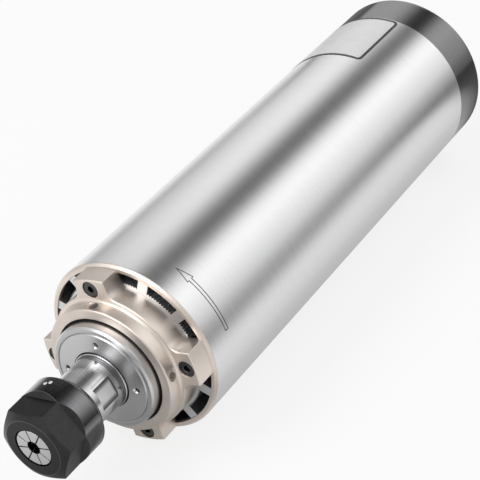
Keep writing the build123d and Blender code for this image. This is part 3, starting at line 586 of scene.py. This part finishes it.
def gridMesh(name, points, closeU=False, closeV=False):
    # a surface from a grid of points (rows by columns by 3), faces listed as whole arrays
    rows, columns, _ = points.shape
    i = np.arange(rows if closeU else rows - 1)[:, None]
    j = np.arange(columns if closeV else columns - 1)[None, :]
    nextI = (i + 1) % rows
    nextJ = (j + 1) % columns
    quads = np.stack([i * columns + j, i * columns + nextJ, nextI * columns + nextJ, nextI * columns + j], -1)
    mesh = bpy.data.meshes.new(name)
    mesh.from_pydata(points.reshape(-1, 3).tolist(), [], quads.reshape(-1, 4).tolist())
    mesh.polygons.foreach_set("use_smooth", [True] * len(mesh.polygons))
    mesh.update()
    piece = bpy.data.objects.new(name, mesh)
    bpy.context.scene.collection.objects.link(piece)
    return piece


def closePole(piece, reach=0.001 * mm):
    # welds the points of a row that has run together into one
    shape = bmesh.new()
    shape.from_mesh(piece.data)
    bmesh.ops.remove_doubles(shape, verts=shape.verts, dist=reach)
    shape.to_mesh(piece.data)
    shape.free()
    return piece


def wrap(across, along, radius):
    # a flat place on the body: across is arc length round the tube from the top, along is the place along it
    clock = across / bodyRadius
    return np.stack([radius * np.sin(clock), along + 0 * clock, radius * np.cos(clock)], -1)


# Label on the body near the rear cap: a bare film with a dark printed border. Clock angles are in degrees from
# the top, and the rims of both pieces are sunk a little into the tube.
labelLook = {
    "width": 58 * mm, "height": 40.4 * mm, "corner": 2.6 * mm, "border": 1.35 * mm, "rightClock": 4.8,
    "rearGap": 0.5 * mm, "thick": 0.12 * mm, "filmShare": 0.9, "sunk": 0.03 * mm,
    "sidePoints": 47, "cornerPoints": 9, "filmRows": 24,
}


def roundedRectangle(halfWidth, halfHeight, corner):
    # closed outline, anticlockwise from the right side's foot: straight sides and quarter circles, each
    # evenly divided, so that outlines of two sizes match point by point and their sides follow the tube
    pieces = []
    side = np.linspace(-1, 1, labelLook["sidePoints"] + 2)[1:-1]
    turn = np.linspace(0, np.pi / 2, labelLook["cornerPoints"])
    for quarter in range(4):
        along, out = (halfHeight, halfWidth) if quarter % 2 == 0 else (halfWidth, halfHeight)
        straight = np.stack([np.full(side.shape, out), side * (along - corner)])
        bend = np.stack([out - corner + corner * np.cos(turn), along - corner + corner * np.sin(turn)])
        piece = np.concatenate([straight, bend], axis=1)
        angle = quarter * np.pi / 2
        spin = np.array([[np.cos(angle), -np.sin(angle)], [np.sin(angle), np.cos(angle)]])
        pieces.append(spin @ piece)
    return np.concatenate(pieces, axis=1)


def labelPatch(name, outer, inner, shares, lifts):
    # a band from the outer outline to the inner one, wrapped on the tube: one row for each share and lift
    middleAcross = math.radians(labelLook["rightClock"]) * bodyRadius - labelLook["width"] / 2
    middleAlong = sleeveBack - labelLook["rearGap"] - labelLook["height"] / 2
    share = np.array(shares)[:, None]
    x, y = (outer[i] * (1 - share) + inner[i] * share for i in (0, 1))
    points = wrap(middleAcross + x, middleAlong + y, bodyRadius + np.array(lifts)[:, None])
    return gridMesh(name, points, closeV=True)


def label():
    halfWidth, halfHeight = labelLook["width"] / 2, labelLook["height"] / 2
    corner, line = labelLook["corner"], labelLook["border"]
    outline = roundedRectangle(halfWidth, halfHeight, corner)
    inside = roundedRectangle(halfWidth - line, halfHeight - line, corner - line)
    thick, low, rows = labelLook["thick"], -labelLook["sunk"], labelLook["filmRows"]
    filmTop = labelLook["filmShare"] * thick
    border = labelPatch("labelBorder", outline, inside, [0, 0, 1, 1], [low, thick, thick, low])
    film = labelPatch("labelFilm", inside, 0 * inside,
                      [0, *np.linspace(0, 1, rows)], [low] + rows * [filmTop])
    return border, closePole(film)


# Printed ink and label film
inkLook = {"cover": 0.8 * mm, "coverDetail": 3, "colours": ("#4C4C4E", "#303032"), "rough": (0.42, 0.55),
           "bump": 0.004 * mm}
filmLook = {"cloud": 5 * mm, "cloudDetail": 3, "grain": 0.3 * mm, "colours": ("#E2E2E2", "#EEEEEE"),
            "metallic": 0.35, "rough": (0.4, 0.5), "bump": 0.003 * mm}


def printedInk():
    # screen-printed ink: thin and matt, with slightly uneven cover
    material, tree = newMaterial("printedDarkInk")
    cover = specks(tree, inkLook["cover"], inkLook["coverDetail"])
    finishMaterial(tree, mixColour(tree, cover, *inkLook["colours"]), spread(tree, cover, *inkLook["rough"]),
                   bumpFrom(tree, cover, inkLook["bump"]))
    return material


def silverFilm():
    # silver polyester label film: pale, satin, with a faint sheen
    material, tree = newMaterial("silverLabelFilm")
    cloud = specks(tree, filmLook["cloud"], filmLook["cloudDetail"])
    grain = specks(tree, filmLook["grain"])
    finishMaterial(tree, mixColour(tree, cloud, *filmLook["colours"]),
                   spread(tree, grain, *filmLook["rough"]),
                   bumpFrom(tree, grain, filmLook["bump"]), Metallic=filmLook["metallic"])
    return material


inkFinish = printedInk()
labelBorder, labelFilm = label()
labelBorder.data.materials.append(inkFinish)
labelFilm.data.materials.append(silverFilm())
print("label made")


# Turning arrow on the body, printed as a plain outline: it lies round the tube at one station, and its stem
# and head are narrow along the tube. Its line stands as far out of the tube as its rims are sunk in it.
arrowLook = {
    "station": 12.1 * mm, "tipClock": 19.1, "headClock": 29.4, "tailClock": 65.3,
    "headHalf": 1.9 * mm, "stemHalf": 0.85 * mm, "line": 0.34 * mm, "lift": 0.03 * mm, "step": 0.55 * mm,
    "sharpest": 0.35,                  # a corner's reach is at most the line's half width divided by this
}


def unit(vectors):
    return vectors / np.linalg.norm(vectors, axis=1, keepdims=True)


def arrowOutline():
    # the outline's corners as (arc length, station), then a ribbon of the line's width carried round them
    clocks = (arrowLook[key] for key in ("tipClock", "headClock", "tailClock"))
    tip, head, tail = (math.radians(clock) * bodyRadius for clock in clocks)
    wing, stem = arrowLook["headHalf"], arrowLook["stemHalf"]
    corners = np.array([(tip, 0), (head, wing), (head, stem), (tail, stem),
                        (tail, -stem), (head, -stem), (head, -wing)])
    sides = []
    for start, end in zip(corners, np.roll(corners, -1, axis=0)):
        count = max(1, round(np.linalg.norm(end - start) / arrowLook["step"]))
        sides.append(start + (end - start) * (np.arange(count) / count)[:, None])
    path = np.concatenate(sides)
    ahead = unit(np.roll(path, -1, axis=0) - path)
    behind = unit(path - np.roll(path, 1, axis=0))
    tangent = unit(ahead + behind)
    across = np.stack([-tangent[:, 1], tangent[:, 0]], 1)
    turnShare = np.clip(np.abs((tangent * ahead).sum(1)), arrowLook["sharpest"], 1)
    reach = across * (arrowLook["line"] / 2 / turnShare)[:, None]
    rows = np.stack([path - reach, path - reach, path + reach, path + reach], 0)
    lifts = np.array([-1, 1, 1, -1])[:, None] * arrowLook["lift"]
    points = wrap(rows[..., 0], arrowLook["station"] + rows[..., 1], bodyRadius + lifts)
    return gridMesh("turningArrow", points, closeV=True)


turningArrow = arrowOutline()
turningArrow.data.materials.append(inkFinish)
for piece in (labelBorder, labelFilm, turningArrow):
    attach(piece, "housing")
print("arrow made")


# The nut's rear end, which slopes in to a narrow collar behind the barrel: placed by the nut's own box
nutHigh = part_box("collet_nut")[1]
barrelRadius = nutHigh.x
nutRear = nutHigh.y
nutBackLook = {"overlap": 0.5 * mm, "lift": 0.03 * mm, "slope": 2.9 * mm, "bore": 12.5 * mm,
               "round": 0.25 * mm, "sides": 96}


def turnedShell(name, profile, sides):
    # a ring turned about the shaft: the closed profile of (distance from the axis, station) carried round it
    radius, station = np.array(profile).T
    clock = np.linspace(0, 2 * np.pi, sides + 1)[:-1][None, :]
    points = np.stack([radius[:, None] * np.sin(clock), station[:, None] + 0 * clock,
                       radius[:, None] * np.cos(clock)], -1)
    return gridMesh(name, points, closeU=True, closeV=True)


def nutBackCone():
    # a sleeve over the nut's end, a slope and a collar, with each outer corner eased by short flats
    bore, ease = nutBackLook["bore"], nutBackLook["round"]
    front = nutRear - nutBackLook["overlap"]
    outside = barrelRadius + nutBackLook["lift"]
    back = nutRear + nutBackLook["slope"]
    collar = outside - nutBackLook["slope"]
    cone = turnedShell("nutBackCone", [
        (bore, front), (outside, front), (outside, nutRear - ease),
        (outside - 0.4 * ease, nutRear + 0.2 * ease), (collar + 0.4 * ease, back - 0.6 * ease),
        (collar - 0.2 * ease, back - 0.1 * ease), (collar - ease, back), (bore, back)], nutBackLook["sides"])
    cone.data.polygons.foreach_set("use_smooth", [False] * len(cone.data.polygons))
    return cone


nutBack = nutBackCone()
nutBack.data.materials.append(finishes["collet_nut"])
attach(nutBack, "collet_nut")
print("nut back made")


# Drilled balancing marks on the nut: each is a shallow cone of bare steel, by its distance from the nut's
# rear end and its clock angle. Its wall is lifted a little off the barrel, and its rim is sunk in it.
markLook = {
    "radius": 0.82 * mm, "depth": 0.05 * mm, "lift": 0.02 * mm, "sunk": 0.1 * mm, "rings": 6, "sides": 32,
    "places": ((4.2 * mm, -22.3), (3.2 * mm, -15.8)),
    "colours": ("#F0F0F0", "#FAFAFA"), "metallic": 0.35, "grain": 0.3 * mm, "grainDetail": 3,
    "rough": (0.4, 0.55), "bump": 0.004 * mm,
}


def bareMark(number, fromRear, clock):
    # rings of points about the mark's own axis, from the sunk rim to the middle
    share = np.array([1, *np.linspace(1, 0, markLook["rings"])])[:, None]
    sunk = np.array([markLook["sunk"]] + markLook["rings"] * [0])[:, None]
    angle = np.linspace(0, 2 * np.pi, markLook["sides"] + 1)[:-1][None, :]
    sideways = share * markLook["radius"] * np.cos(angle)
    along = share * markLook["radius"] * np.sin(angle)
    sag = barrelRadius - np.sqrt(barrelRadius ** 2 - sideways ** 2)
    height = barrelRadius + markLook["lift"] - markLook["depth"] * (1 - share) - sag * share - sunk
    turned = math.radians(clock)
    x = height * math.sin(turned) + sideways * math.cos(turned)
    z = height * math.cos(turned) - sideways * math.sin(turned)
    points = np.stack([x, nutRear - fromRear + along, z], -1)
    return closePole(gridMesh(f"bareMark{number}", points, closeV=True))


def drilledSteel():
    # steel cut bare by a drill point: bright and dull, with fine grain
    material, tree = newMaterial("freshDrilledSteel")
    grain = specks(tree, markLook["grain"], markLook["grainDetail"])
    finishMaterial(tree, mixColour(tree, grain, *markLook["colours"]),
                   spread(tree, grain, *markLook["rough"]),
                   bumpFrom(tree, grain, markLook["bump"]), Metallic=markLook["metallic"])
    return material


bareSteel = drilledSteel()
for number, place in enumerate(markLook["places"], 1):
    mark = bareMark(number, *place)
    mark.data.materials.append(bareSteel)
    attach(mark, "collet_nut")
print("nut marks made")


# Floor, pale and plain, that the body lies on
floorLook = {
    "size": 6.0, "colour": "#F4F4F4", "gap": 0.2 * mm, "shadow": 0.25, "white": 1.06,
    # distance from the shaft's line in mm, and how bright the floor is there in reflections
    "glow": [(0, 0.3), (20, 0.55), (40, 0.78), (58, 0.93), (73, 1.1), (96, 1.24), (136, 1.36), (230, 1.12),
             (320, 0.8), (600, 0.55)],
    # dim floor to the right of the nose, in reflections only, which the nut shows: its slanted back edge
    # fades over noseFade, its front edge over noseStart, and its sides over noseNear and noseReach
    "noseSlant": 0.57, "noseFade": (-32 * mm, -42 * mm), "noseStart": (-44 * mm, -30 * mm), "noseLevel": 0.28,
    "noseNear": (5 * mm, 20 * mm), "noseReach": (160 * mm, 110 * mm),
    # and a dim floor past the rear end, which the black cap shows: it starts farther back to the sides
    "backSlant": 0.95, "backFade": (226 * mm, 244 * mm), "backLevel": 0.08,
}
black = (0, 0, 0, 1)
white = (1, 1, 1, 1)


def dimmed(tree, colour, where, level):
    # the colour as it is where the share is 0, and times the level where it is 1
    return mixColour(tree, spread(tree, where, 1, level), black, colour)


def floorGlow(tree, peak):
    # how bright reflections see the floor, as a share of the peak: bright on both sides of the body, dimmer
    # under it and far off, and dim in the two patches
    parts = addNode(tree, "ShaderNodeSeparateXYZ", {0: objectPoint(tree)}).outputs
    sideways, along = parts["X"], parts["Y"]
    aside = calc(tree, "ABSOLUTE", sideways)
    far = floorLook["glow"][-1][0]
    glow = ramp(tree, product(tree, aside, 1 / (far * mm)),
                [(place / far, level / peak) for place, level in floorLook["glow"]])
    behind = calc(tree, "MULTIPLY_ADD", aside, -floorLook["backSlant"], along)
    glow = dimmed(tree, glow, rise(tree, behind, *floorLook["backFade"]), floorLook["backLevel"])
    before = calc(tree, "MULTIPLY_ADD", aside, -floorLook["noseSlant"], along)
    patch = product(tree, *(rise(tree, value, *floorLook[key]) for value, key in (
        (before, "noseFade"), (aside, "noseReach"), (along, "noseStart"), (sideways, "noseNear"))))
    return dimmed(tree, glow, patch, floorLook["noseLevel"])


def paleFloorPaint():
    # pale matt paint: the camera sees it as white with a light shadow, and reflections see the glow
    material, tree = newMaterial("paleFloorPaint")
    peak = max(level for _, level in floorLook["glow"])
    rays = addNode(tree, "ShaderNodeLightPath").outputs
    glossy = rays["Is Glossy Ray"]
    lit = addNode(tree, "ShaderNodeBsdfDiffuse", {"Color": toLinear(floorLook["colour"])})
    glowing = addNode(tree, "ShaderNodeEmission", {
        "Color": mixColour(tree, glossy, white, floorGlow(tree, peak)),
        "Strength": mixNumber(tree, glossy, floorLook["white"], peak),
    })
    seen = calc(tree, "MAXIMUM", rays["Is Camera Ray"], glossy)
    seen = calc(tree, "MAXIMUM", seen, rays["Is Transmission Ray"])
    mixed = addNode(tree, "ShaderNodeMixShader", {0: product(tree, seen, 1 - floorLook["shadow"]),
                                                 1: lit.outputs[0], 2: glowing.outputs[0]})
    addNode(tree, "ShaderNodeOutputMaterial", {"Surface": mixed.outputs[0]})
    return material


def paleFloor():
    # a flat square just under the object
    half = floorLook["size"] / 2
    line = np.linspace(-half, half, 3)
    x, y = np.meshgrid(line, line, indexing="ij")
    lowest = cadBox[0][2]
    floor = gridMesh("floor", np.stack([x, y, np.full_like(x, lowest - floorLook["gap"])], -1))
    floor.data.flip_normals()
    floor.data.materials.append(paleFloorPaint())


paleFloor()
print("floor made")


# Studio: a light tent round the object, bright and dim along its length as strip lights and gaps make it, and
# one soft lamp
studioLook = {
    "ambient": 0.62, "backdrop": 1.0,
    # clock angle round the shaft seen from the nose, and how bright the tent is there
    "tent": [(-180, 0.6), (-98, 0.84), (-86, 0.9), (-74, 1.08), (-62, 1.28), (-50, 1.4), (-38, 1.35),
             (-26, 0.8), (-16, 0.26), (-6, 0.15), (2, 0.26), (10, 0.8), (20, 1.5), (33, 1.68), (45, 1.44),
             (57, 1.28), (70, 1.08), (80, 0.68), (90, 0.48), (100, 0.7), (180, 0.6)],
    # the same for directions low beside the nose, which the nut shows
    "nose": [(-180, 0.5), (-86, 0.25), (-62, 0.1), (-38, 0.04), (-20, 0.05), (-4, 0.2), (10, 0.6), (22, 1.25),
             (34, 1.66), (46, 1.5), (58, 1.05), (70, 0.5), (82, 0.2), (94, 0.1), (106, 0.1), (180, 0.5)],
    # the same for the part of the tent in front of the nose, which the shaft's steps and the cap show
    "front": [(-180, 0.5), (-110, 0.6), (-86, 0.8), (-50, 0.9), (-30, 1.6), (-14, 2.4), (4, 2.4), (20, 0.9),
              (34, 0.3), (50, 0.3), (66, 0.5), (84, 0.9), (96, 1.0), (120, 0.8), (180, 0.5)],
    # how far a direction points along the shaft where front gives way to the rest, and nose to tent
    "frontEnd": (-0.25, 0.25), "noseEnd": (0.552, 0.575),
    "keyPower": 5.0, "keySize": 0.7, "keyPlace": (-0.5, -0.75, 1.1), "keyAim": (0, 0.08, 0),
}


def lightTent():
    # the world: white behind the object for the camera, even light for matt surfaces, and the tent's
    # bright and dim strips for reflections, set by the direction's angle round the shaft
    world = bpy.data.worlds.new("studio")
    bpy.context.scene.world = world
    world.use_nodes = True
    tree = world.node_tree
    tree.nodes.clear()
    direction = addNode(tree, "ShaderNodeTexCoord").outputs["Generated"]
    parts = addNode(tree, "ShaderNodeSeparateXYZ", {0: direction}).outputs
    place = rise(tree, calc(tree, "ARCTAN2", parts["X"], parts["Z"]), -math.pi, math.pi)
    zones = ("front", "nose", "tent")
    peak = max(level for zone in zones for _, level in studioLook[zone])
    front, nose, rear = (ramp(tree, place, [((angle + 180) / 360, level / peak)
                                            for angle, level in studioLook[zone]]) for zone in zones)
    tent = mixColour(tree, rise(tree, parts["Y"], *studioLook["noseEnd"]), nose, rear)
    tent = mixColour(tree, rise(tree, parts["Y"], *studioLook["frontEnd"]), front, tent)
    rays = addNode(tree, "ShaderNodeLightPath").outputs
    glossy = rays["Is Glossy Ray"]
    around = addNode(tree, "ShaderNodeBackground", {
        "Color": mixColour(tree, glossy, white, tent),
        "Strength": mixNumber(tree, glossy, studioLook["ambient"], peak),
    })
    backdrop = addNode(tree, "ShaderNodeBackground", {"Color": white, "Strength": studioLook["backdrop"]})
    shown = addNode(tree, "ShaderNodeMixShader", {0: rays["Is Camera Ray"], 1: around.outputs[0],
                                                 2: backdrop.outputs[0]})
    addNode(tree, "ShaderNodeOutputWorld", {"Surface": shown.outputs[0]})


def softKey():
    # one large soft lamp above and to the left of the camera
    lamp = bpy.data.lights.new("keyLamp", "AREA")
    lamp.shape = "DISK"
    lamp.size = studioLook["keySize"]
    lamp.energy = studioLook["keyPower"]
    key = bpy.data.objects.new("keyLamp", lamp)
    key.location = studioLook["keyPlace"]
    aim = Vector(studioLook["keyAim"]) - key.location
    key.rotation_euler = aim.to_track_quat("-Z", "Y").to_euler()
    bpy.context.scene.collection.objects.link(key)


lightTent()
softKey()
print("studio set")
